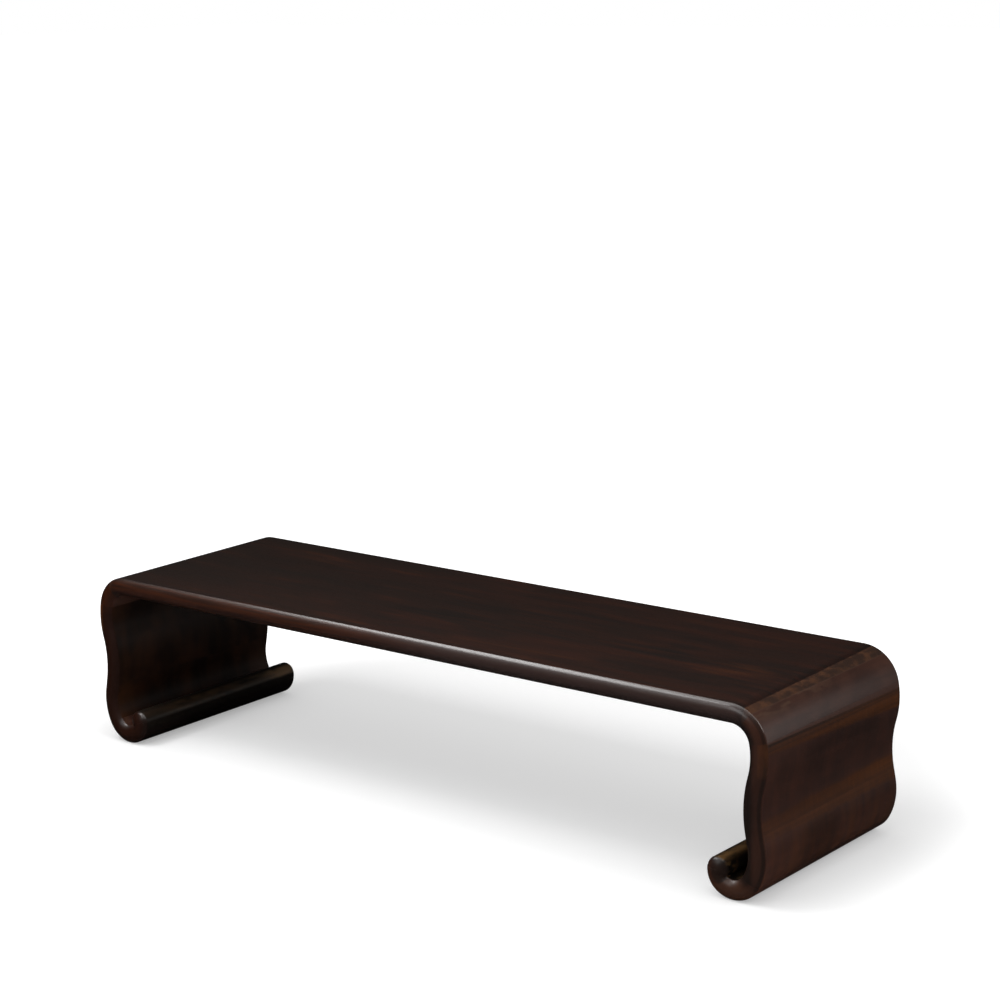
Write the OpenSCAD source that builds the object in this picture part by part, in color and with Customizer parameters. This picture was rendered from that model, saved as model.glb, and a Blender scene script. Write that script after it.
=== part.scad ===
// A low qin table: a slab top that turns down at both ends into legs with scrolled feet.
// Origin on the floor under the middle of the top. X runs along the top, -Y is the front.
// Three lengthwise boards make the top. Front-to-back boards, jointed edge to edge, make each leg.

/* [Table] */
// Length over the two legs
table_l = 1200; // [900:10:1500]
// Width from the front edge to the rear edge
table_w = 340; // [280:5:420]
// Height of the top above the floor
table_h = 259; // [245:1:360]

/* [Boards] */
// Thickness of every board
board_t = 26.8; // [24:0.2:32]
// How far a rounded edge stands out past its arrises
edge_depth = 7; // [5:0.5:8]
// Radius of the softened arrises
arris_r = 3; // [1:0.5:4]
// Width of the front board of the top
front_board_w = 136; // [110:1:150]
// Width of the middle board of the top
middle_board_w = 102; // [80:1:110]

/* [Leg curve] */
// Slope on the shoulder where the top boards end, in degrees below level
top_end_dip = 34; // [26:1:40]
// Outer radius of the shoulder, where the top turns down
shoulder_r = 54.3; // [50:0.1:64]
// Slope where the shoulder ends
shoulder_dip = 79; // [74:1:84]
// Outer radius of the cheek below the shoulder
cheek_r = 118; // [100:1:128]
// Slope where the cheek ends
cheek_dip = 105.8; // [100:0.1:108]
// Radius of the hollow waist, on its outer face
waist_r = 142; // [120:1:156]
// Slope where the waist ends
waist_dip = 79; // [76:1:82]
// Outer radius of the belly above the foot
belly_r = 84.5; // [74:0.5:96]
// Slope where the belly ends
belly_dip = 118; // [112:1:122]
// Outer radius of the heel that the leg stands on
heel_r = 44.4; // [40:0.1:52]
// Slope where the heel ends
heel_dip = 208.3; // [202:0.1:214]
// Outer radius of the toe that curls up
toe_r = 33.4; // [30:0.1:38]
// Slope where the toe ends
toe_dip = 277; // [268:1:282]
// Radius of the rolled bead at the tip of the scroll
bead_r = 16.3; // [14.5:0.1:18]
// How far the bead stands out past the outer face
bead_proud = 0.3; // [0.2:0.1:1]
// Radius of the rounded rims of the bead's two ends
bead_rim_r = 8; // [3:0.5:10]
// Width of the flat planed under each foot
foot_flat = 12; // [8:1:20]

/* [Joinery] */
// Distance kept between a joint and the front or rear edge
joint_stop = 24; // [18:1:32]
// Thickness of the tongues and tenons
tenon_t = 8; // [6:0.5:9]
// Length of the tongue on the ends of the top boards
tongue_l = 8; // [5:0.5:10]
// Length of the tenons that reach deeper than the tongue
end_tenon_l = 14; // [12:0.5:15]
// Width of each tenon
tenon_w = 50; // [36:1:60]
// Length of a loose tenon, half in each board
loose_tenon_l = 26; // [20:1:27]
// Loose tenons in each joint of a leg
loose_tenons = 3; // [2:1:4]
// Diameter of the bamboo pegs
peg_d = 5; // [4:0.5:6]
// Length of a peg in the seams of the top
seam_peg_l = 44; // [30:1:60]
// Pegs in each seam of the top
seam_pegs = 6; // [4:1:9]
// Distance from the ends of the flat to the last peg of a seam
seam_peg_end = 75; // [50:5:120]
// Distance from a joint to the peg that locks an end tenon
lock_peg_back = 8; // [7:0.5:9]
// Wood left between a lock peg and the outer face
lock_peg_cover = 5; // [4:0.5:6]
// Play on each side of a tenon, tongue or peg
side_play = 0.15; // [0.1:0.05:0.3]
// Space left past the end of a tenon, tongue or peg
end_play = 0.5; // [0.3:0.1:1]

/* [Hidden] */
SIDES = ["left", "right"];
$fn = 64;

top_colour = "#2b1a15";
stave_colour = "#4a2a20";
leg_colour = "#5b3020";
foot_colour = "#4a2a1c";
tenon_colour = "#8a5a3c";
bamboo_colour = "#c9ab6d";

half_w = table_w / 2;
half_t = board_t / 2;
front_seam_y = front_board_w - half_w;
rear_seam_y = front_seam_y + middle_board_w;
past = table_w;

// The outer face of a leg, seen from the front, is a path of arcs that run on into each other.
// A station is a point [x, z] of that path, with the slope of the face there as its dip.
function normal(dip) = [sin(dip), cos(dip)];
function along(dip) = [cos(dip), -sin(dip)];
function after_round(p, r, from_dip, to_dip) = p + r * (normal(to_dip) - normal(from_dip));
function after_hollow(p, r, from_dip, to_dip) = p - r * (normal(to_dip) - normal(from_dip));
function sunk(r, x) = r - sqrt(r * r - x * x);

// The cheek's farthest point sets the length, and a straight run below the waist takes up the height
bulge = shoulder_r * sin(shoulder_dip) + cheek_r * (1 - sin(shoulder_dip));
bend_x = round(100 * (table_l / 2 - bulge)) / 100;
heel_centre_z = heel_r - sunk(heel_r, foot_flat / 2);
belly_end_z = heel_centre_z + heel_r * cos(belly_dip);
belly_start_z = belly_end_z - belly_r * (cos(belly_dip) - cos(waist_dip));

shoulder_start = [bend_x, table_h];
top_end = after_round(shoulder_start, shoulder_r, 0, top_end_dip);
shoulder_end = after_round(shoulder_start, shoulder_r, 0, shoulder_dip);
cheek_end = after_round(shoulder_end, cheek_r, shoulder_dip, cheek_dip);
waist_end = after_hollow(cheek_end, waist_r, cheek_dip, waist_dip);
run_l = (waist_end[1] - belly_start_z) / sin(waist_dip);
belly_start = waist_end + run_l * along(waist_dip);
belly_end = after_round(belly_start, belly_r, waist_dip, belly_dip);
heel_end = after_round(belly_end, heel_r, belly_dip, heel_dip);

// Section of a board, across its thickness (x) and from the front to the rear (y).
// Both edges are rounded, and all four arrises are softened.
module slab_section(thick, soft_r = arris_r) {
    edge_r = (thick * thick / 4 + edge_depth * edge_depth) / (2 * edge_depth);
    crown_y = half_w - edge_r;
    arris_x = thick / 2 - soft_r;
    arris_y = crown_y + sqrt(pow(edge_r - soft_r, 2) - arris_x * arris_x);
    join_x = arris_x * edge_r / (edge_r - soft_r);
    square([thick, 2 * arris_y], center = true);
    for (y = [-1, 1]) {
        for (x = [-1, 1])
            translate([x * arris_x, y * arris_y]) circle(r = soft_r);
        intersection() {
            translate([0, y * crown_y]) circle(r = edge_r);
            translate([0, y * half_w / 2]) square([2 * join_x, half_w], center = true);
        }
    }
}

// The part of the section that lies between two seams
module board_section(from_y, to_y) {
    intersection() {
        slab_section(board_t);
        translate([-board_t, from_y]) square([2 * board_t, to_y - from_y]);
    }
}

// Puts a station's own frame on the leg: x along the outer face, z outward
module at_station(p, dip) {
    translate([p[0], 0, p[1]]) rotate([0, dip, 0]) children();
}

// Sweeps the section round an arc whose outer face passes through the frame's origin
module swept(centre_z, start, turn, middle_r) {
    translate([0, 0, centre_z]) rotate([90, 0, 0]) rotate_extrude(angle = turn, start = start)
        translate([middle_r, 0]) mirror([0, 1]) children();
}
module round_on(r, turn) {
    swept(-r, 90 - turn, turn, r - half_t) children();
}
module round_back(r, turn) {
    swept(-r, 90, turn, r - half_t) children();
}
module hollow_on(r, turn) {
    swept(r, 270, turn, r + half_t) children();
}

// A straight length of the section along x, with its outer face at z = 0
module straight(from_x, length) {
    translate([from_x, 0, -half_t]) rotate([90, 0, 90]) linear_extrude(length)
        rotate(90) mirror([0, 1]) children();
}

// The right side is drawn, and the left one is its mirror image
module on_side(side) {
    mirror([side == "left" ? 1 : 0, 0, 0]) children();
}

// A block round the middle of a board's thickness, in a station's frame
module tenon_block(from_x, to_x, from_y, to_y, play) {
    translate([from_x, from_y - play, -half_t - tenon_t / 2 - play])
        cube([to_x - from_x, to_y - from_y + 2 * play, tenon_t + 2 * play]);
}

// Loose tenons of a leg's joint, or the mortises that take them
module loose_tenon_row(p, dip, play, end) {
    reach = loose_tenon_l / 2 + end;
    step = (table_w - 2 * joint_stop - tenon_w) / (loose_tenons - 1);
    at_station(p, dip)
        for (i = [0:loose_tenons - 1]) {
            middle_y = joint_stop + tenon_w / 2 - half_w + i * step;
            tenon_block(-reach, reach, middle_y - tenon_w / 2, middle_y + tenon_w / 2, play);
        }
}
module mortise_row(p, dip) {
    loose_tenon_row(p, dip, side_play, end_play);
}

// Tongue and deep tenon on the end of one top board, or the groove and mortise that take them
module end_joint(from_y, to_y, play, end) {
    middle_y = (from_y + to_y) / 2;
    at_station(top_end, top_end_dip) {
        tenon_block(-tongue_l, tongue_l + end, from_y, to_y, play);
        tenon_block(-tongue_l, end_tenon_l + end, middle_y - tenon_w / 2, middle_y + tenon_w / 2, play);
    }
}

// The three top boards as [from, to] across the width, and as their tongues
board_spans = [[-half_w, front_seam_y], [front_seam_y, rear_seam_y], [rear_seam_y, half_w]];
tongue_spans = [
    [joint_stop - half_w, front_seam_y], [front_seam_y, rear_seam_y], [rear_seam_y, half_w - joint_stop],
];

// Pegs that lock the end tenons, driven from the hollow side of the bend, or their bores
module lock_peg_row(play, end) {
    inner_r = shoulder_r - board_t;
    foot_z = -shoulder_r + inner_r - sunk(inner_r, lock_peg_back + peg_d);
    tip_z = -sunk(shoulder_r, lock_peg_back) - lock_peg_cover;
    at_station(top_end, top_end_dip)
        for (span = tongue_spans)
            translate([lock_peg_back, (span[0] + span[1]) / 2, foot_z - end])
                cylinder(d = peg_d + 2 * play, h = tip_z - foot_z + 2 * end);
}

// Pegs across one seam of the top, or their bores
module seam_peg_row(seam_y, play, end) {
    step = 2 * (bend_x - seam_peg_end) / (seam_pegs - 1);
    for (i = [0:seam_pegs - 1])
        translate([seam_peg_end - bend_x + i * step, seam_y, table_h - half_t]) rotate([90, 0, 0])
            cylinder(d = peg_d + 2 * play, h = seam_peg_l + 2 * end, center = true);
}

// One lengthwise board of the top, which runs on round the start of both bends
module top_board(i) {
    span = board_spans[i];
    color(top_colour) difference() {
        union() {
            translate([0, 0, table_h]) straight(-bend_x, 2 * bend_x) board_section(span[0], span[1]);
            for (side = SIDES)
                on_side(side) {
                    at_station(shoulder_start, 0)
                        round_on(shoulder_r, top_end_dip) board_section(span[0], span[1]);
                    end_joint(tongue_spans[i][0], tongue_spans[i][1], 0, 0);
                }
        }
        for (side = SIDES)
            on_side(side) lock_peg_row(side_play, end_play);
        if (i < 2) seam_peg_row(front_seam_y, side_play, end_play);
        if (i > 0) seam_peg_row(rear_seam_y, side_play, end_play);
    }
}

module seam_peg_group(seam_y) {
    color(bamboo_colour) seam_peg_row(seam_y, 0, 0);
}

// The stave that takes the tongues of the top and turns the bend down
module bend_stave(side) {
    color(stave_colour) on_side(side) difference() {
        at_station(top_end, top_end_dip)
            round_on(shoulder_r, shoulder_dip - top_end_dip) slab_section(board_t);
        end_joint(joint_stop - half_w, half_w - joint_stop, side_play, end_play);
        for (span = tongue_spans)
            end_joint(span[0], span[1], side_play, end_play);
        lock_peg_row(side_play, end_play);
        mortise_row(shoulder_end, shoulder_dip);
    }
}

module lock_peg_group(side) {
    color(bamboo_colour) on_side(side) intersection() {
        lock_peg_row(0, 0);
        at_station(top_end, top_end_dip)
            round_on(shoulder_r, shoulder_dip - top_end_dip) slab_section(board_t);
    }
}

// The cheek and the hollow waist, from one wide board
module waist_board(side) {
    color(leg_colour) on_side(side) difference() {
        at_station(cheek_end, cheek_dip) {
            round_back(cheek_r, cheek_dip - shoulder_dip) slab_section(board_t);
            hollow_on(waist_r, cheek_dip - waist_dip) slab_section(board_t);
        }
        mortise_row(shoulder_end, shoulder_dip);
        mortise_row(waist_end, waist_dip);
    }
}

// The straight run and the belly, down to the foot
module belly_board(side) {
    color(leg_colour) on_side(side) difference() {
        at_station(belly_start, waist_dip) {
            straight(-run_l, run_l) slab_section(board_t);
            round_on(belly_r, belly_dip - waist_dip) slab_section(board_t);
        }
        mortise_row(waist_end, waist_dip);
        mortise_row(belly_end, belly_dip);
    }
}

// The rolled bead at the tip of the scroll, in the frame of the heel's end, with domed ends
module tip_bead() {
    turn = toe_dip - heel_dip;
    reach = toe_r + bead_proud - bead_r;
    translate([reach * sin(turn), 0, reach * cos(turn) - toe_r]) rotate([90, 0, 0])
        rotate_extrude() intersection() {
            slab_section(2 * bead_r, bead_rim_r);
            translate([0, -half_w]) square([bead_r, table_w]);
        }
}

// The scrolled foot, carved from one block and planed flat where it stands
module foot_block(side) {
    color(foot_colour) on_side(side) difference() {
        at_station(heel_end, heel_dip) {
            round_back(heel_r, heel_dip - belly_dip) slab_section(board_t);
            round_on(toe_r, toe_dip - heel_dip) slab_section(board_t);
            tip_bead();
        }
        mortise_row(belly_end, belly_dip);
        translate([0, -past, -past]) cube([table_l, 2 * past, past]);
    }
}

module loose_tenon_group(side, p, dip) {
    color(tenon_colour) on_side(side) loose_tenon_row(p, dip, 0, 0);
}

top_board(0);  // top_front_board
top_board(1);  // top_middle_board
top_board(2);  // top_rear_board
seam_peg_group(front_seam_y);  // front_seam_pegs
seam_peg_group(rear_seam_y);  // rear_seam_pegs
for (side = SIDES) {
    bend_stave(side);
    waist_board(side);
    belly_board(side);
    foot_block(side);
    lock_peg_group(side);
    loose_tenon_group(side, shoulder_end, shoulder_dip);
    loose_tenon_group(side, waist_end, waist_dip);
    loose_tenon_group(side, belly_end, belly_dip);
}
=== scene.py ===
import math

import bpy
from mathutils import Matrix, Vector

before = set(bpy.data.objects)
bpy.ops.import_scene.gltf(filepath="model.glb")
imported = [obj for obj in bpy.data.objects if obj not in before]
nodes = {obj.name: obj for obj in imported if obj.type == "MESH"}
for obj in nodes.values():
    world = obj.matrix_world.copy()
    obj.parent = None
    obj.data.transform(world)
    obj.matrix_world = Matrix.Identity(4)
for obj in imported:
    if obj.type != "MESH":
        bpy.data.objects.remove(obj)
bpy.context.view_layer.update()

# Camera
# It stands to the front right of the table, a little over a metre up, and looks down on it.
# Its place, turn and lens come from fitting the table's outline to the photograph.
camera_place = (2.1404, -2.6129, 1.1678)
camera_turn = math.radians(38.597)
camera_dip = math.radians(12.532)
camera_roll = math.radians(-1.048)
camera_lens = 88.32
camera_film = 36.0
level = math.radians(90)

camera = bpy.data.objects.new("camera", bpy.data.cameras.new("camera"))
camera.data.lens = camera_lens
camera.data.sensor_width = camera_film
heading = Matrix.Rotation(camera_turn, 4, "Z")
tilt = Matrix.Rotation(level - camera_dip, 4, "X")
lean = Matrix.Rotation(camera_roll, 4, "Z")
camera.matrix_world = Matrix.Translation(camera_place) @ heading @ tilt @ lean
bpy.context.scene.collection.objects.link(camera)
bpy.context.scene.camera = camera
bpy.context.scene.view_settings.view_transform = "Standard"


# Floor
# A wide white studio floor. The camera sees it white, and light grey in the table's shadow. To
# matt wood it is a pale floor that gives light back, and in the polish it is nearly black.
class Wire:
    """A socket in a shader tree. Sums, products and powers of wires add Math nodes to the tree."""

    def __init__(self, tree, socket=None):
        self.tree = tree
        self.socket = socket

    def feed(self, node, inputs):
        """Sets a node's sockets to their values, and links those whose value is a wire."""
        for name, value in inputs.items():
            if isinstance(value, Wire):
                self.tree.links.new(value.socket, node.inputs[name])
            else:
                node.inputs[name].default_value = value

    def add(self, kind, settings, inputs, output=0):
        """Adds a node of one type: first its settings, then its sockets' values or links."""
        node = self.tree.nodes.new(kind)
        for name, value in settings.items():
            setattr(node, name, value)
        self.feed(node, inputs)
        return Wire(self.tree, node.outputs[output] if node.outputs else None)

    def other(self, output):
        """Another output of the node that this wire comes from."""
        return Wire(self.tree, self.socket.node.outputs[output])

    def reckon(self, operation, first, second):
        """One Math node: the operation done on the first and the second value."""
        return self.add("ShaderNodeMath", {"operation": operation}, {0: first, 1: second})

    def __add__(self, other):
        return self.reckon("ADD", self, other)

    def __radd__(self, other):
        return self.reckon("ADD", other, self)

    def __sub__(self, other):
        return self.reckon("SUBTRACT", self, other)

    def __rsub__(self, other):
        return self.reckon("SUBTRACT", other, self)

    def __mul__(self, other):
        return self.reckon("MULTIPLY", self, other)

    def __rmul__(self, other):
        return self.reckon("MULTIPLY", other, self)

    def __truediv__(self, other):
        return self.reckon("DIVIDE", self, other)

    def __rtruediv__(self, other):
        return self.reckon("DIVIDE", other, self)

    def __pow__(self, other):
        return self.reckon("POWER", self, other)

    def __abs__(self):
        return self.reckon("ABSOLUTE", self, 0.0)

    def between(self, start, end):
        """0 at start and before it, 1 at end and past it, a smooth step from one to the other."""
        steps = {"Value": self, "From Min": start, "From Max": end}
        return self.add("ShaderNodeMapRange", {"interpolation_type": "SMOOTHSTEP"}, steps)

    def ranged(self, low, high):
        """low where this wire is 0, high where it is 1, in proportion in between."""
        return low + self * (high - low)

    def over(self, top, under):
        """Mixes two colours: under where this wire is 0, top where it is 1.

        A Mix node keeps its colours in sockets 6 and 7, and the mixed colour is its output 2."""
        sockets = {0: self, 6: under, 7: top}
        return self.add("ShaderNodeMix", {"data_type": "RGBA"}, sockets, 2)

    def times(self, factor):
        """The colour of this wire made lighter or darker by a factor."""
        sockets = {0: self, "Scale": factor}
        return self.add("ShaderNodeVectorMath", {"operation": "SCALE"}, sockets)


# The floor is white by its own glow, not by more light on the table. Inside the shadow's reach half
# of the white is glow and the lamps give the rest, and past it all is glow. Ambient occlusion
# darkens it in the crevice under the feet.
floor_half = 30.0
floor_glow = 0.538
floor_paint = (0.570, 0.570, 0.570, 1.0)
floor_bounce = 0.72
floor_in_polish = 0.02
shadow_reach = (0.62, 0.86)
crevice_reach = 0.11
crevice_depth = 0.36

floor_corners = [
    (-floor_half, -floor_half, 0.0),
    (floor_half, -floor_half, 0.0),
    (floor_half, floor_half, 0.0),
    (-floor_half, floor_half, 0.0),
]
floor_mesh = bpy.data.meshes.new("floor")
floor_mesh.from_pydata(floor_corners, [], [(0, 1, 2, 3)])
floor = bpy.data.objects.new("floor", floor_mesh)
bpy.context.scene.collection.objects.link(floor)


def grey(tone):
    """The colour whose red, green and blue are all one tone."""
    return tone.add("ShaderNodeCombineXYZ", {}, {0: tone, 1: tone, 2: tone})


paint = bpy.data.materials.new("floor_paint")
paint.use_nodes = True
paint.node_tree.nodes.clear()
sheet = Wire(paint.node_tree)
spot = sheet.add("ShaderNodeTexCoord", {}, {}, "Object")
from_middle = sheet.add("ShaderNodeVectorMath", {"operation": "LENGTH"}, {0: spot}, "Value")
crevice = 1.0 - sheet.add("ShaderNodeAmbientOcclusion", {}, {"Distance": crevice_reach}, "AO")
power = from_middle.between(*shadow_reach).ranged(floor_glow, 1.0) * (1.0 - crevice * crevice_depth)
glow = sheet.add("ShaderNodeEmission", {}, {"Color": grey(power), "Strength": 1.0})
matt = sheet.add("ShaderNodeBsdfDiffuse", {}, {"Color": floor_paint})
lit = sheet.add("ShaderNodeAddShader", {}, {0: glow, 1: matt})

seen = sheet.add("ShaderNodeLightPath", {}, {}, "Is Camera Ray")
tone = seen.other("Is Glossy Ray").ranged(floor_bounce, floor_in_polish)
unseen = sheet.add("ShaderNodeBsdfDiffuse", {}, {"Color": grey(tone)})
shown = sheet.add("ShaderNodeMixShader", {}, {0: seen, 1: unseen, 2: lit})
below = sheet.add("ShaderNodeNewGeometry", {}, {}, "Backfacing")
clear = sheet.add("ShaderNodeBsdfTransparent", {}, {})
sided = sheet.add("ShaderNodeMixShader", {}, {0: below * seen, 1: shown, 2: clear})
sheet.add("ShaderNodeOutputMaterial", {}, {"Surface": sided})
floor_mesh.materials.append(paint)

# Room and lamps
# The room is white to the camera and a dim, even light to matt wood. In the polish it is nearly
# black, as in the photograph, where only softboxes shine: the table has no metal and no glass.
room_white = (1.0, 1.0, 1.0, 1.0)
room_light = 0.28
room_in_polish = 0.008

world = bpy.data.worlds.new("room")
world.use_nodes = True
world.node_tree.nodes.clear()
air = Wire(world.node_tree)
to_camera = air.add("ShaderNodeLightPath", {}, {}, "Is Camera Ray")
to_gloss = to_camera.other("Is Glossy Ray")
strength = room_light + to_camera * (1.0 - room_light) + to_gloss * (room_in_polish - room_light)
backdrop = air.add("ShaderNodeBackground", {}, {"Color": room_white, "Strength": strength})
air.add("ShaderNodeOutputWorld", {}, {"Surface": backdrop})
bpy.context.scene.world = world


def softbox(name, place, aim, wide, high, watts):
    """A flat lamp of a given width and height that looks from its place at its aim."""
    lamp = bpy.data.lights.new(name, "AREA")
    lamp.shape = "RECTANGLE"
    lamp.size = wide
    lamp.size_y = high
    lamp.energy = watts
    box = bpy.data.objects.new(name, lamp)
    look = (Vector(aim) - Vector(place)).to_track_quat("-Z", "Y")
    box.matrix_world = Matrix.Translation(place) @ look.to_matrix().to_4x4()
    box.visible_camera = False
    bpy.context.scene.collection.objects.link(box)


# The overhead box hangs close over the table, which makes its shadow as wide and soft as it is.
# The others stand farther off and light the front, the two ends and the rear.
softbox("overhead", place=(0.0, -0.325, 1.06), aim=(0.0, -0.02, 0.25), wide=2.0, high=0.44, watts=7.2)
softbox("left_strip", place=(-0.93, -0.856, 1.658), aim=(0.11, -0.17, 0.25), wide=0.94, high=0.52, watts=12.6)
softbox("front_box", place=(-0.2, -2.0, 1.5), aim=(0.0, 0.0, 0.15), wide=1.2, high=0.9, watts=7.5)
softbox("rear_panel", place=(2.0, 1.5, 0.48), aim=(2.0, 0.0, 0.48), wide=1.3, high=0.90, watts=0.75)
softbox("rear_panel_high", place=(2.0, 1.55, 0.75), aim=(2.0, 0.0, 0.75), wide=1.3, high=1.44, watts=0.80)
softbox("right_fill", place=(2.6, 0.4, 2.0), aim=(0.3, 0.0, 0.1), wide=1.4, high=1.4, watts=20.0)


# Top boards
# Three long boards of dark rosewood, glued edge to edge, their grain along the table. Each end is
# bent down as far as the bend stave, and the whole is rubbed smooth and polished to a low shine.
front_seam = -0.034
rear_seam = 0.068
seam_half = 0.0004
seam_dark = (0.0040, 0.0025, 0.0020, 1.0)
seam_part = 0.6
line_core = 0.4

# A grain is the size of its patches, in metres along three wires, a shift that sets it apart from
# the other grains, and its finer detail. A span is the stretch over which something goes from none
# to full, and a part is how much of a colour is then laid over the wood.
layer_thick = 0.007
layer_detail = 3.0
layer_span = (0.38, 0.70)
layer_part = 0.30
sway_grain = ((0.30, 0.10, 0.10), 0.0, 2.0)
sway_width = 0.045
patch_grain = ((0.11, 0.010, 0.03), 11.0, 4.0)
patch_span = (0.40, 0.72)
patch_part = 0.45
broad_grain = ((0.35, 0.045, 0.05), 23.0, 2.0)
broad_span = (0.35, 0.65)
broad_part = 0.25
top_dark = (0.0160, 0.0112, 0.0092, 1.0)
top_red = (0.0345, 0.0134, 0.0090, 1.0)
red_in_middle = 1.1
red_to_right = 1.2
front_side = (-0.05, -0.15)
rear_side = (0.0, 0.12)
side_part = 0.15

# Orange wood shows where the patches are brightest, in a flare near the right end, and along a
# line that is worn into the front of the top.
top_orange = (0.0720, 0.0240, 0.0100, 1.0)
bright_patch = (0.56, 0.72)
bright_broad = (0.48, 0.62)
bright_part = 0.4
flare_middle = (0.482, -0.035)
flare_half = (0.060, 0.028)
flare_patch = (0.35, 0.65)
flare_part = 0.7
worn_middle = -0.131
worn_slope = 0.04
worn_half = 0.0045
worn_start = (0.04, 0.10)
worn_stop = (0.30, 0.24)
worn_part = 0.35

# The rounded front and rear edges are red at the left, with a grey painted sheen over them to the
# right. They are darker below, painted shade, with a faint painted highlight on the crest at the left.
long_grain = ((0.12, 0.0025, 0.0025), 61.0, 3.0)
long_span = (0.30, 0.46)
long_light = (0.78, 1.0)
rim_start = (0.1620, 0.1665)
rim_grain = (0.30, 0.62)
rim_red = (0.0540, 0.0130, 0.0040, 1.0)
rim_deep = (0.0240, 0.0075, 0.0034, 1.0)
rim_sheen_grey = (0.0430, 0.0235, 0.0200, 1.0)
sheen_from_left = (-0.18, 0.14)
sheen_part = 0.9
rim_shade_span = (0.2360, 0.2440)
rim_shade_light = (0.66, 0.92)
crest_highlight_up = (0.2470, 0.2530)
crest_highlight_to_left = (-0.05, -0.30)
crest_highlight_part = 0.05

# A strip across each end is lighter, mottled brown and orange, with a soft shade before it.
strip_start = 0.561
strip_slope = 0.022
strip_edge = (0.0006, -0.0006)
shade_before = (0.014, -0.002)
shade_part = 0.42
mottle_grain = ((0.010, 0.017, 0.017), 53.0, 4.0)
mottle_span = (0.40, 0.70)
front_tip = (-0.115, -0.150)
tip_part = 0.6
end_brown = (0.0400, 0.0205, 0.0140, 1.0)
end_orange = (0.0860, 0.0370, 0.0190, 1.0)
strip_on_rim = 0.75

# Fine fibres and open pores lie over all of it, and they alone make the relief.
fibre_grain = ((0.05, 0.0009, 0.0009), 31.0, 2.0)
fibre_light = (0.86, 1.14)
pore_grain = ((0.009, 0.0005, 0.0005), 41.0, 1.0)
pore_span = (0.62, 0.7)
pore_part = 0.3
top_gloss = (0.32, 0.44)
pore_gloss = 0.15
top_relief = 0.0002
relief_strength = 0.2
top_coat = (0.50, 0.55)
top_haze = 0.16


def plain_wood(name):
    """A new wood material, and wires for its place on the table: along x, back y and up z."""
    material = bpy.data.materials.new(name)
    material.use_nodes = True
    place = Wire(material.node_tree).add("ShaderNodeTexCoord", {}, {}, "Object")
    along = place.add("ShaderNodeSeparateXYZ", {}, {0: place})
    return material, along, along.other("Y"), along.other("Z")


def clouds(first, second, third, grain, seed):
    """Noise from 0 to 1: each wire is divided by its patch size, the first one also shifted."""
    sizes, shift, detail = grain
    place = {0: first / sizes[0] + (seed + shift), 1: second / sizes[1], 2: third / sizes[2]}
    vector = first.add("ShaderNodeCombineXYZ", {}, place)
    sockets = {"Vector": vector, "Scale": 1.0, "Detail": detail}
    return first.add("ShaderNodeTexNoise", {"noise_dimensions": "3D"}, sockets)


def squares(first, second, middle):
    """The square of the distance from a middle: the squares of the two ways to it, added."""
    return (first - middle[0]) ** 2.0 + (second - middle[1]) ** 2.0


def growth_layers(along, across, deep, pith, seed):
    """Growth layers cut by the surface: noise of the distance to the pith, a line along the grain.

    The distance is the root of the squares across and deep, and sways slowly along the grain."""
    sway = clouds(along, across, deep, sway_grain, seed) * sway_width
    reach = squares(across, deep, pith) ** 0.5 + sway
    sockets = {"W": reach / layer_thick + seed, "Scale": 1.0, "Detail": layer_detail}
    return along.add("ShaderNodeTexNoise", {"noise_dimensions": "1D"}, sockets)


def line(distance, half):
    """1 on a line as far as its core, the inner part of its half width, and 0 from half outwards."""
    return 1.0 - abs(distance).between(line_core * half, half)


def polish(material, colour, gloss, relief, depth, coat, haze):
    """Gives a wood its colour and roughness, bumps as deep as depth, and a rubbed coat.

    The coat has a weight and a haze, its own roughness. Each is a number or a wire."""
    heights = {"Strength": relief_strength, "Distance": depth, "Height": relief}
    looks = {
        "Base Color": colour,
        "Roughness": gloss,
        "Normal": colour.add("ShaderNodeBump", {}, heights),
        "Coat Weight": coat,
        "Coat Roughness": haze,
    }
    colour.feed(material.node_tree.nodes["Principled BSDF"], looks)


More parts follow.
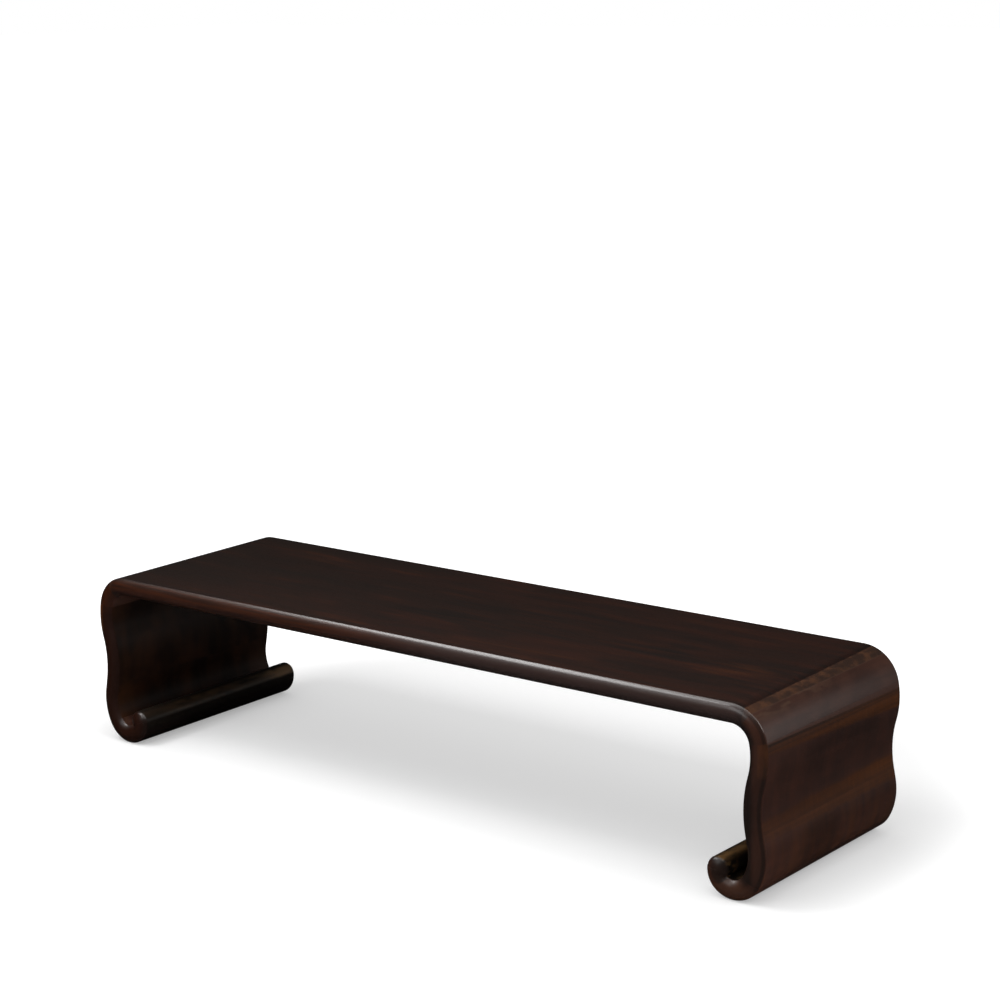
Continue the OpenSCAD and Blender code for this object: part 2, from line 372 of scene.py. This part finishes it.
def top_wood(name, pith, seed):
    """Red over dark by layers, patches and broad clouds, more of it to the right and at both sides.

    Over it lie the orange places, the long grain, the rounded edges, the end strips, the fibres,
    the pores and the two seams, in this order, each a mask that mixes in or scales a colour."""
    material, x, y, z = plain_wood(name)
    patches = clouds(x, y, z, patch_grain, seed)
    broad = clouds(x, y, z, broad_grain, seed)
    fibres = clouds(x, y, z, fibre_grain, seed)
    pores = clouds(x, y, z, pore_grain, seed).between(*pore_span)
    streaks = clouds(x, y, z, long_grain, seed)

    red = growth_layers(x, y, z, pith, seed).between(*layer_span) * layer_part
    red = red + patches.between(*patch_span) * patch_part + broad.between(*broad_span) * broad_part
    red = red * (red_in_middle + x * red_to_right)
    red = red + (y.between(*front_side) + y.between(*rear_side)) * side_part
    ground = red.over(top_red, top_dark)

    bright = patches.between(*bright_patch) * broad.between(*bright_broad)
    ground = (bright * bright_part).over(top_orange, ground)
    flare_along = (x - flare_middle[0]) / flare_half[0]
    flare_across = (y - flare_middle[1]) / flare_half[1]
    flare = 1.0 - squares(flare_along, flare_across, (0.0, 0.0)).between(0.0, 1.0)
    ground = (flare * patches.between(*flare_patch) * flare_part).over(top_orange, ground)
    worn = line(y - worn_middle - x * worn_slope, worn_half)
    worn = worn * x.between(*worn_start) * x.between(*worn_stop)
    ground = (worn * worn_part).over(top_orange, ground)
    ground = ground.times(streaks.between(*long_span).ranged(*long_light))

    rim = abs(y).between(*rim_start)
    edge = streaks.between(*rim_grain).over(rim_red, rim_deep)
    # A grey painted sheen to the right, painted shade low on the edge, a painted highlight on the crest.
    edge = (x.between(*sheen_from_left) * sheen_part).over(rim_sheen_grey, edge)
    crest_highlight = z.between(*crest_highlight_up) * x.between(*crest_highlight_to_left)
    edge = edge.times(z.between(*rim_shade_span).ranged(*rim_shade_light) + crest_highlight * crest_highlight_part)
    ground = rim.over(edge, ground)

    from_end = strip_start - abs(x) - y * strip_slope
    ground = ground.times(1.0 - from_end.between(*shade_before) * shade_part)
    mottle = clouds(x, y, z, mottle_grain, seed).between(*mottle_span)
    tip = y.between(*front_tip) * tip_part
    strip_colour = (mottle * (1.0 - tip) + tip).over(end_orange, end_brown)
    strip = from_end.between(*strip_edge) * (1.0 - rim * strip_on_rim)
    ground = strip.over(strip_colour, ground)

    ground = ground.times(fibres.ranged(*fibre_light)).times(1.0 - pores * pore_part)
    seam = line(y - front_seam, seam_half) + line(y - rear_seam, seam_half)
    ground = (seam * seam_part).over(seam_dark, ground)
    gloss = fibres.ranged(*top_gloss) + pores * pore_gloss
    polish(material, ground, gloss, fibres - pores, top_relief, rim.ranged(*top_coat), top_haze)
    return material


# Each board is sawn from its own place in the tree: the pith's y and z, and the seed of its figure.
for board, pith, seed in (
    ("front", (-0.1, 0.13), 3.0),
    ("middle", (0.02, 0.15), 97.0),
    ("rear", (0.15, 0.12), 171.0),
):
    wood = top_wood("top_" + board + "_wood", pith, seed)
    nodes["top_" + board + "_board"].material_slots[0].material = wood


# Seam pegs
# Round pegs split from old bamboo, glued across the two seams inside the top. They keep the boards
# level while the glue sets, and nothing of them shows.
cane_pale = (0.66, 0.50, 0.26, 1.0)
cane_tan = (0.50, 0.34, 0.14, 1.0)
cane_speck = (0.22, 0.12, 0.05, 1.0)
strand_grain = ((0.0006, 0.03, 0.0006), 0.0, 2.0)
strand_span = (0.3, 0.7)
speck_grain = ((0.0003, 0.006, 0.0003), 5.0, 2.0)
speck_span = (0.6, 0.68)
speck_part = 0.6
cane_gloss = (0.5, 0.7)
bare_relief = 0.0002
bare_haze = 0.3
no_coat = 0.0


def bamboo(name, seed):
    """Fine strands from tan to pale along the peg, with short dark specks laid over them."""
    material, x, y, z = plain_wood(name)
    strands = clouds(x, y, z, strand_grain, seed)
    specks = clouds(x, y, z, speck_grain, seed).between(*speck_span)
    cane = strands.between(*strand_span).over(cane_pale, cane_tan)
    cane = (specks * speck_part).over(cane_speck, cane)
    polish(material, cane, strands.ranged(*cane_gloss), strands, bare_relief, no_coat, bare_haze)
    return material


for seam_name, seed in (("front", 7.0), ("rear", 19.0)):
    nodes[seam_name + "_seam_pegs"].material_slots[0].material = bamboo(seam_name + "_seam_bamboo", seed)


# Bend staves
# A narrow stave on each side, its grain from front to back, shaped to the tightest part of the bend.
# It takes the tongues and tenons of the top boards, and its lower joint shows as a dark line.

# A leg is drawn by its way out from the middle of the table, which is x times way_out. A joint is
# its place out and up, and how far the leg's curve dips there, in degrees.
way_out = {"right": 1.0, "left": -1.0}
top_joint = (0.574894, 0.249717, 34.0)
bend_joint = (0.597832, 0.215061, 79.0)
glue_pale = (0.0850, 0.0480, 0.0340, 1.0)
glue_dark = (0.0060, 0.0032, 0.0025, 1.0)
pale_line_half = 0.0011
pale_line_part = 0.6
dark_line_half = 0.0009
dark_line_part = 0.3

bend_pale = (0.0700, 0.0285, 0.0185, 1.0)
bend_brown = (0.0330, 0.0150, 0.0110, 1.0)
stave_grain = ((0.22, 0.012, 0.012), 0.0, 2.0)
stave_span = (0.35, 0.7)
stave_part = 0.25
cloud_grain = ((0.035, 0.02, 0.02), 21.0, 3.0)
cloud_span = (0.3, 0.7)
cloud_part = 0.45
pale_at_least = 0.25
painted_sheen_to_front = 1.6
rear_end_span = (0.100, 0.140)
rear_end_part = 0.4

# Light tan spots lie along the top of the bend, most of them towards the front.
bend_tan = (0.0980, 0.0520, 0.0320, 1.0)
spot_grain = ((0.030, 0.010, 0.010), 33.0, 3.0)
spot_span = (0.46, 0.62)
spot_up = (0.2365, 0.2465)
spot_to_front = (0.06, -0.06)
spot_part = 0.6

# The rounded front and rear rims. The bend's inner side lies close round hollow_middle, and the outer
# side begins where the square of the distance to it goes through hollow_squares.
hollow_middle = (0.5445, 0.2047)
hollow_squares = (0.0012, 0.0020)
leg_rim_start = (0.1605, 0.1655)
# The right rims' inner half is darker with painted shade, and a painted shade line runs where the rims begin.
rim_right = (0.0440, 0.0128, 0.0054, 1.0)
rim_left = (0.0190, 0.0034, 0.0001, 1.0)
rim_inner_shade = (0.0130, 0.0056, 0.0036, 1.0)
rim_shade = (0.0110, 0.0050, 0.0030, 1.0)
rim_shade_line = 0.1655
rim_shade_half = 0.0024
rim_shade_part = 0.6
# The bend's rims are painted lighter, the left leg's most: painted light.
bend_rim_painted_light = {"right": 0.2, "left": 1.1}

bend_fibres = ((0.05, 0.0010, 0.0010), 9.0, 2.0)
bend_light = (0.90, 1.10)
bend_gloss = (0.32, 0.40)
leg_relief = 0.00015
bend_coat = 0.47
bend_coat_to_front = 2.6
bend_haze = 0.26


def past(out, up, joint):
    """Metres past a joint, along the way that the leg's curve heads there.

    That is the way out times the cosine of the dip, less the way up times its sine."""
    joint_out, joint_up, dip = joint
    turn = math.radians(dip)
    return (out - joint_out) * math.cos(turn) - (up - joint_up) * math.sin(turn)


def edge_rim(ground, y, outer, leg):
    """Lays the rims' colour over the ground, and gives the ground and the rims' mask.

    The mask grows from 0 to 1 over leg_rim_start, to the front and to the rear. outer is 1 on the
    leg's outer side, where the right rims are redder and both have a painted line of shade where
    they begin. On the inner side the right rims are darker, painted shade."""
    rim = abs(y).between(*leg_rim_start)
    colour = outer.over(rim_right, rim_inner_shade) if leg == "right" else rim_left
    shade = line(abs(y) - rim_shade_line, rim_shade_half) * outer * rim_shade_part
    return shade.over(rim_shade, rim.over(colour, ground)), rim


def bend_wood(leg, seed):
    """Pale over brown by streaks and clouds along the stave, paler at the rear end, and paler to the front, a
    painted sheen.

    Over it lie the tan spots, the two joint lines and the rims, and the fibres and the rims' painted light
    scale the sum."""
    material, x, y, z = plain_wood(leg + "_bend_wood")
    out = x * way_out[leg]
    fibres = clouds(y, x, z, bend_fibres, seed)
    pale = clouds(y, x, z, stave_grain, seed).between(*stave_span) * stave_part
    pale = pale + clouds(y, x, z, cloud_grain, seed).between(*cloud_span) * cloud_part
    # Paler to the front is a painted sheen.
    pale = pale + pale_at_least - y * painted_sheen_to_front + y.between(*rear_end_span) * rear_end_part
    ground = pale.over(bend_pale, bend_brown)

    spots = clouds(y, x, z, spot_grain, seed).between(*spot_span)
    spots = spots * z.between(*spot_up) * y.between(*spot_to_front)
    ground = (spots * spot_part).over(bend_tan, ground)
    ground = (line(past(out, z, top_joint), pale_line_half) * pale_line_part).over(glue_pale, ground)
    ground = (line(past(out, z, bend_joint), dark_line_half) * dark_line_part).over(glue_dark, ground)

    outer = squares(out, z, hollow_middle).between(*hollow_squares)
    ground, rim = edge_rim(ground, y, outer, leg)
    ground = ground.times(fibres.ranged(*bend_light) + rim * bend_rim_painted_light[leg])
    coat = bend_coat - y * bend_coat_to_front
    polish(material, ground, fibres.ranged(*bend_gloss), fibres, leg_relief, coat, bend_haze)
    return material


for leg, seed in (("right", 5.0), ("left", 67.0)):
    nodes[leg + "_bend_stave"].material_slots[0].material = bend_wood(leg, seed)


# Waist boards
# A wide board on each side makes the cheek and the hollow waist. Its grain runs from front to back,
# with a band of orange sapwood left along both of its edges and a fine curl across the grain.
waist_joint = (0.592786, 0.094658, 79.0)
joint_half = 0.0005
joint_part = 0.4

# Heartwood, on the leg's outer skin.
heart_dark = (0.0350, 0.0145, 0.0105, 1.0)
heart_red = (0.0620, 0.0210, 0.0125, 1.0)
heart_grain = ((0.16, 0.012, 0.012), 0.0, 2.0)
heart_span = (0.4, 0.7)
heart_part = 0.25
curl_grain = ((0.0060, 0.06, 0.06), 13.0, 3.0)
curl_span = (0.30, 0.75)
curl_part = 0.30
bloom_grain = ((0.035, 0.06, 0.06), 29.0, 3.0)
bloom_span = (0.36, 0.68)
bloom_part = 0.45
leg_fibres = ((0.04, 0.0010, 0.0010), 37.0, 2.0)
leg_front = (-0.05, -0.14)
leg_front_part = 0.25
skin_start = (0.5750, 0.5860)

# The inner side of the leg, darkened with painted shade.
inner_shade_dark = (0.0120, 0.0034, 0.0004, 1.0)
inner_shade_red = (0.0400, 0.0125, 0.0030, 1.0)
inner_streaks = ((0.020, 0.10, 0.05), 71.0, 2.0)
inner_streak_span = (0.38, 0.70)
inner_streak_part = 0.4
inner_clouds = ((0.05, 0.06, 0.05), 73.0, 3.0)
inner_cloud_span = (0.40, 0.68)
inner_cloud_part = 0.6

# Sapwood. Its edge wanders by up to wander_width, and a slope is metres of rise per metre of y.
sap_orange = (0.0980, 0.0270, 0.0030, 1.0)
sap_brown = (0.0560, 0.0165, 0.0035, 1.0)
sap_line = (0.0260, 0.0095, 0.0040, 1.0)
thread_grain = ((0.3, 0.0035, 0.0035), 43.0, 2.0)
thread_span = (0.40, 0.65)
thread_part = 0.6
sap_curl = ((0.0060, 0.05, 0.05), 47.0, 3.0)
sap_curl_span = (0.35, 0.7)
sap_curl_part = 0.4
wander_grain = ((0.05, 0.05, 0.05), 3.0, 3.0)
wander_width = (-0.005, 0.005)
sap_edge = (-0.003, 0.003)

# The bands of the waist board, each with its height at the middle of the leg and its slope.
cheek_band = (0.1908, -0.058)
cheek_wander = 0.4
cheek_part = 0.85
cheek_to_rear = 1.0
low_band = (0.1115, 0.010)
low_edge = (-0.006, 0.003)
low_part = 0.78
low_to_rear = 1.5
low_light = 1.12
band_light = 0.90
band_rear = (-0.03, 0.14)
band_rear_part = 0.15
band_front = (-0.05, -0.14)
band_front_part = 0.05
thread_line = (0.2022, -0.012)
thread_line_half = 0.0016
thread_line_part = 0.5
thread_line_to_front = 1.5

# A soft shade lies below the cheek's band, and the sloping dark line of the bend's joint above it.
cheek_shade = (0.1810, -0.055)
cheek_shade_half = 0.016
cheek_shade_start = (-0.10, -0.03)
cheek_shade_stop = (0.14, 0.08)
cheek_shade_part = 0.22
sloping_line = (0.2080, -0.020)
sloping_line_half = 0.0024
sloping_line_part = 0.72
sloping_line_to_front = 2.2
pale_above = (0.2098, -0.020)
pale_above_edge = (-0.0006, 0.0006)

# An orange patch on the rim at the narrowest part of the cheek.
patch_out = (0.586, 0.590)
patch_up = (0.166, 0.176)
patch_cloud = ((0.02, 0.01, 0.01), 0.0, 2.0)
patch_cover = 0.9

# How light the board is in all, and its gloss and coat. On the rims the two legs differ, and the
# left rims get painted light at the cheek.
waist_light = 0.80
fibre_part = 0.22
curl_light = 0.14
waist_to_front = 0.4
cheek_rim_painted_light = {"right": 0.0, "left": 0.35}
waist_gloss = (0.36, 0.46)
waist_coat = (0.30, 0.15)
waist_rim_coat = {"right": 0.15, "left": -0.3}
pale_coat = 0.35
pale_coat_to_front = 2.4
waist_haze = 0.2


def leg_ground(x, y, z, seed):
    """Heartwood of a leg: red over dark by streaks along the grain, an upright curl and clouds.

    Each of the three has its own part in the sum, and the front end is redder. It gives the colour,
    and the noise of the fibres and of the curl."""
    curl = clouds(y, x, z, curl_grain, seed)
    fibres = clouds(y, x, z, leg_fibres, seed)
    red = clouds(y, x, z, heart_grain, seed).between(*heart_span) * heart_part
    red = red + curl.between(*curl_span) * curl_part
    red = red + clouds(y, x, z, bloom_grain, seed).between(*bloom_span) * bloom_part
    red = red + y.between(*leg_front) * leg_front_part
    return red.over(heart_red, heart_dark), fibres, curl


def shaded_inner_skin(x, y, z, seed):
    """The inner side of a leg, dull and nearly black with painted shade: red over dark by upright
    streaks and clouds.
    """
    red = clouds(y, z, x, inner_streaks, seed).between(*inner_streak_span) * inner_streak_part
    red = red + clouds(y, z, x, inner_clouds, seed).between(*inner_cloud_span) * inner_cloud_part
    return red.over(inner_shade_red, inner_shade_dark)


def sapwood(x, y, z, seed):
    """The sapwood's own colour: orange over brown by threads along the grain and the upright curl."""
    orange = clouds(y, x, z, thread_grain, seed).between(*thread_span) * thread_part
    orange = orange + clouds(y, x, z, sap_curl, seed).between(*sap_curl_span) * sap_curl_part
    return orange.over(sap_orange, sap_brown)


def wandering(x, y, z, seed):
    """Metres by which an edge of the sapwood wanders up and down: slow noise, as much up as down."""
    return clouds(y, x, z, wander_grain, seed).ranged(*wander_width)


def above(z, y, edge):
    """Metres above an edge that slopes from front to rear: z less its height and its slope times y."""
    height, slope = edge
    return z - height - y * slope


def waist_wood(leg, seed):
    """Heartwood with a band of sapwood above and one below, each a mask of the height and the skin.

    Over them lie the pale wood and dark line of the joint above, the joint line below, the inner
    side in painted shade and the rims. Fibres and curl scale the colour, it gets lighter to the
    front, and the left rims get painted light at the cheek."""
    material, x, y, z = plain_wood(leg + "_waist_wood")
    ground, fibres, curl = leg_ground(x, y, z, seed)
    out = x * way_out[leg]
    skin = out.between(*skin_start)
    wander = wandering(x, y, z, seed)

    band = sapwood(x, y, z, seed)
    band_ends = y.between(*band_rear) * band_rear_part + y.between(*band_front) * band_front_part
    band = band.times(band_light + band_ends)
    thread = line(above(z, y, thread_line), thread_line_half)
    band = (thread * (thread_line_part - y * thread_line_to_front)).over(sap_line, band)

    shade = line(above(z, y, cheek_shade), cheek_shade_half)
    shade = shade * y.between(*cheek_shade_start) * y.between(*cheek_shade_stop)
    ground = ground.times(1.0 - shade * cheek_shade_part)
    cheek = (above(z, y, cheek_band) + wander * cheek_wander).between(*sap_edge)
    ground = (cheek * skin * (cheek_part + y * cheek_to_rear)).over(band, ground)
    pale = above(z, y, pale_above).between(*pale_above_edge)
    ground = pale.over(bend_pale, ground)
    dark = line(above(z, y, sloping_line), sloping_line_half)
    ground = (dark * (sloping_line_part - y * sloping_line_to_front)).over(sap_line, ground)
    low = (wander - above(z, y, low_band)).between(*low_edge)
    ground = (low * skin * (low_part + y * low_to_rear)).over(band.times(low_light), ground)
    ground = (line(past(out, z, waist_joint), joint_half) * joint_part).over(sap_line, ground)

    # The inner side gets painted shade.
    ground = (1.0 - skin).over(shaded_inner_skin(x, y, z, seed), ground)
    ground, rim = edge_rim(ground, y, skin, leg)
    patch = rim * out.between(*patch_out) * z.between(*patch_up) * clouds(z, x, y, patch_cloud, seed)
    ground = (patch * patch_cover).over(sap_orange, ground)
    light = waist_light + fibres * fibre_part + curl * curl_light - y * waist_to_front
    # The left rims are painted lighter at the cheek: painted light.
    ground = ground.times(light + rim * cheek * cheek_rim_painted_light[leg])

    coat = cheek.ranged(*waist_coat) + rim * waist_rim_coat[leg]
    coat = coat + pale * (pale_coat - y * pale_coat_to_front)
    polish(material, ground, fibres.ranged(*waist_gloss), fibres, leg_relief, coat, waist_haze)
    return material


for leg, seed in (("right", 31.0), ("left", 83.0)):
    nodes[leg + "_waist_board"].material_slots[0].material = waist_wood(leg, seed)


# Belly boards
# The board below the waist swells out again to the belly. It is of the same tree as the waist board,
# a little redder, and its sapwood edge widens towards the back.
belly_red = (0.0800, 0.0260, 0.0080, 1.0)
soft_curl_grain = ((0.013, 0.09, 0.09), 17.0, 3.0)
soft_curl_span = (0.35, 0.65)
soft_curl_part = 0.45
belly_band = (0.0830, -0.015)
belly_wander = 0.6
belly_band_part = 0.70
belly_band_to_rear = 1.5
painted_low_light_span = (0.075, 0.025)
painted_low_light = 0.58
belly_shade_middle = -0.030
belly_shade_half = 0.060
belly_shade_up = (0.088, 0.076)
belly_shade_part = 0.30
belly_light = 0.84
belly_to_front = 0.5
belly_coat = 0.30
belly_rim_coat = {"right": 0.1, "left": -0.25}


def belly_wood(leg, seed):
    """Heartwood reddened by a soft curl, with sapwood along the upper joint, painted light low down.

    A soft shade lies in the middle, and over it the inner side in painted shade and the rims. Fibres
    and curl scale the colour, and it gets lighter to the front."""
    material, x, y, z = plain_wood(leg + "_belly_wood")
    ground, fibres, curl = leg_ground(x, y, z, seed)
    out = x * way_out[leg]
    skin = out.between(*skin_start)
    soft_curl = clouds(y, x, z, soft_curl_grain, seed).between(*soft_curl_span)
    ground = (soft_curl * skin * soft_curl_part).over(belly_red, ground)
    wander = wandering(x, y, z, seed)
    upper = (above(z, y, belly_band) + wander * belly_wander).between(*sap_edge)
    upper = upper * skin * (belly_band_part + y * belly_band_to_rear)
    ground = upper.over(sapwood(x, y, z, seed), ground)
    ground = (line(past(out, z, waist_joint), joint_half) * joint_part).over(sap_line, ground)

    # Low down the board is painted lighter: painted light.
    ground = ground.times(1.0 + z.between(*painted_low_light_span) * painted_low_light)
    shade = line(y - belly_shade_middle, belly_shade_half) * z.between(*belly_shade_up)
    ground = ground.times(1.0 - shade * belly_shade_part)
    # The inner side gets painted shade.
    ground = (1.0 - skin).over(shaded_inner_skin(x, y, z, seed), ground)
    ground, rim = edge_rim(ground, y, skin, leg)
    light = belly_light + fibres * fibre_part + curl * curl_light - y * belly_to_front
    coat = belly_coat + rim * belly_rim_coat[leg]
    gloss = fibres.ranged(*waist_gloss)
    polish(material, ground.times(light), gloss, fibres, leg_relief, coat, waist_haze)
    return material


for leg, seed in (("right", 47.0), ("left", 101.0)):
    nodes[leg + "_belly_board"].material_slots[0].material = belly_wood(leg, seed)


# Foot blocks
# Each foot is sawn and carved from one block: the heel curls in under the leg and ends in a rolled
# bead. The scroll's hollow is darkened with painted shade. The bead is olive brown: on the right
# foot's crown worn by hands and lit by a painted highlight, on the left foot's flank a painted sheen.
foot_joint = (0.587502, 0.023148, 118.0)
foot_joint_part = 0.5

# The rolled bead: worn olive with a painted highlight along its crown on the right foot, and a
# painted olive sheen along its flank on the left one.
bead_centre = (0.525814, 0.036428)
bead_edge = (0.0185, 0.0168)
bead_olive_sheen = (0.1400, 0.0740, 0.0270, 1.0)
bead_dark = (0.0105, 0.0060, 0.0034, 1.0)
olive_patch_grain = ((0.03, 0.01, 0.01), 5.0, 4.0)
olive_patch_span = (0.30, 0.62)
ridge_lean = 0.6
ridge_span = (-0.002, 0.011)
crown_span = (-0.008, 0.001)
crown_worn_sheen = 0.80
crown_to_front = 1.8
flank_up = (0.0, 0.006)
flank_in = (-0.003, -0.009)
flank_sheen = 0.05
flank_front = (-0.13, -0.07)
flank_front_sheen = 0.20
flank_rear = (0.08, 0.15)
flank_rear_sheen = 1.1

# The heel, painted lighter outside and painted darker where it has turned in under the leg, and the
# scroll's hollow, darkened with painted shade, with painted light in olive flecks at its front.
heel_centre = (0.548300, 0.043993)
heel_shade_turn = (0.004, -0.010)
heel_painted_light = (1.58, 0.20)
heel_outside = (0.027, 0.036)
heel_red = (0.0560, 0.0190, 0.0080, 1.0)
heel_start = (0.0, 0.014)
heel_part = 0.9
heel_on_bead = 0.8
hollow_shade_dark = (0.0048, 0.0028, 0.0016, 1.0)
hollow_shade_edge = (0.0205, 0.0185)
hollow_shade_part = {"right": 1.0, "left": 0.4}
lit_fleck_grain = ((0.010, 0.006, 0.006), 19.0, 3.0)
lit_fleck_span = (0.50, 0.62)
lit_fleck_front = (-0.125, -0.155)
lit_fleck_part = 0.6

# How light the block is in all, and its gloss and coat.
foot_light = 0.84
foot_to_front = 0.5
foot_gloss = (0.34, 0.44)
foot_coat = (0.36, 0.16)
foot_worn_coat = {"right": 0.0, "left": 0.6}
foot_haze = 0.3


def foot_wood(leg, seed):
    """Heartwood painted lighter outside the heel and painted darker where it turns in, and on the bead
    olive over dark: wear with a painted highlight on the right, a painted sheen on the left.

    The hollow is all that lies close round the heel's centre, less the bead's ridge, in painted shade
    with painted light in flecks at its front. Over it lie the joint line and the rims. Fibres and curl
    scale the colour, and it gets lighter to the front."""
    material, x, y, z = plain_wood(leg + "_foot_wood")
    ground, fibres, curl = leg_ground(x, y, z, seed)
    out = x * way_out[leg]
    bead_out = out - bead_centre[0]
    bead_up = z - bead_centre[1]

    bead = (squares(out, z, bead_centre) ** 0.5).between(*bead_edge)
    ridge = (bead_up - bead_out * ridge_lean).between(*ridge_span)
    flank = bead_up.between(*flank_up) * bead_out.between(*flank_in)
    # The olive on the right crown is wear with a painted highlight; on the left flank a painted sheen.
    if leg == "right":
        worn = ridge * bead_out.between(*crown_span) * (crown_worn_sheen - y * crown_to_front)
    else:
        worn = flank_sheen + y.between(*flank_front) * flank_front_sheen
        worn = flank * (worn + y.between(*flank_rear) * flank_rear_sheen)
    rubbed = clouds(y, x, z, olive_patch_grain, seed).between(*olive_patch_span)
    olive = (rubbed * worn).over(bead_olive_sheen, bead_dark)
    # Outside the heel the wood is painted lighter, painted light; where it turns in, painted darker, painted
    # shade.
    turned_in_shade = (out - heel_centre[0]).between(*heel_shade_turn)
    ground = bead.over(olive, ground.times(turned_in_shade.ranged(*heel_painted_light)))

    from_heel = squares(out, z, heel_centre) ** 0.5
    inside = from_heel.between(*hollow_shade_edge)
    # The hollow is painted dark, painted shade, with painted light in olive flecks at its front.
    lit_flecks = clouds(y, x, z, lit_fleck_grain, seed).between(*lit_fleck_span) * y.between(*lit_fleck_front)
    hollow_shade_colour = (lit_flecks * lit_fleck_part).over(bead_olive_sheen, hollow_shade_dark)
    ground = (inside * (1.0 - bead * ridge) * hollow_shade_part[leg]).over(hollow_shade_colour, ground)

    from_joint = past(out, z, foot_joint)
    ground = (line(from_joint, joint_half) * foot_joint_part).over(sap_line, ground)
    ground, rim = edge_rim(ground, y, from_heel.between(*heel_outside), leg)
    if leg == "right":
        heel = rim * from_joint.between(*heel_start) * (1.0 - bead * heel_on_bead)
        ground = (heel * heel_part).over(heel_red, ground)
    ground = ground.times(foot_light + fibres * fibre_part + curl * curl_light - y * foot_to_front)
    coat = rim.ranged(*foot_coat) + (flank + inside) * foot_worn_coat[leg]
    polish(material, ground, fibres.ranged(*foot_gloss), fibres, leg_relief, coat, foot_haze)
    return material


for leg, seed in (("right", 59.0), ("left", 113.0)):
    nodes[leg + "_foot_block"].material_slots[0].material = foot_wood(leg, seed)


# Tenons and lock pegs
# Loose tenons of pale straight-grained wood, left bare, hold the leg boards and the foot together
# and don't show. Bamboo pegs, driven in from the hollow side of the bend, lock the tenons of the
# top, and only their small ends show there, from below.
tenon_pale = (0.34, 0.19, 0.10, 1.0)
tenon_brown = (0.24, 0.13, 0.07, 1.0)
tenon_grain = ((0.0016, 0.0012, 0.05), 0.0, 2.0)
tenon_span = (0.35, 0.65)
tenon_fibres = ((0.0006, 0.0006, 0.02), 7.0, 2.0)
tenon_light = (0.85, 1.15)
tenon_gloss = (0.55, 0.70)


def bare_wood(name, seed):
    """Pale over brown by straight upright lines, scaled by the noise of finer fibres."""
    material, x, y, z = plain_wood(name)
    fibres = clouds(x, y, z, tenon_fibres, seed)
    ground = clouds(x, y, z, tenon_grain, seed).between(*tenon_span).over(tenon_pale, tenon_brown)
    ground = ground.times(fibres.ranged(*tenon_light))
    polish(material, ground, fibres.ranged(*tenon_gloss), fibres, bare_relief, no_coat, bare_haze)
    return material


for leg, peg_seed, bend_seed, waist_seed, foot_seed in (
    ("right", 3.0, 5.0, 11.0, 17.0),
    ("left", 30.0, 32.0, 38.0, 44.0),
):
    nodes[leg + "_lock_pegs"].material_slots[0].material = bamboo(leg + "_lock_bamboo", peg_seed)
    for joint, seed in (("bend", bend_seed), ("waist", waist_seed), ("foot", foot_seed)):
        tenons = bare_wood(leg + "_" + joint + "_tenon_wood", seed)
        nodes[leg + "_" + joint + "_tenons"].material_slots[0].material = tenons
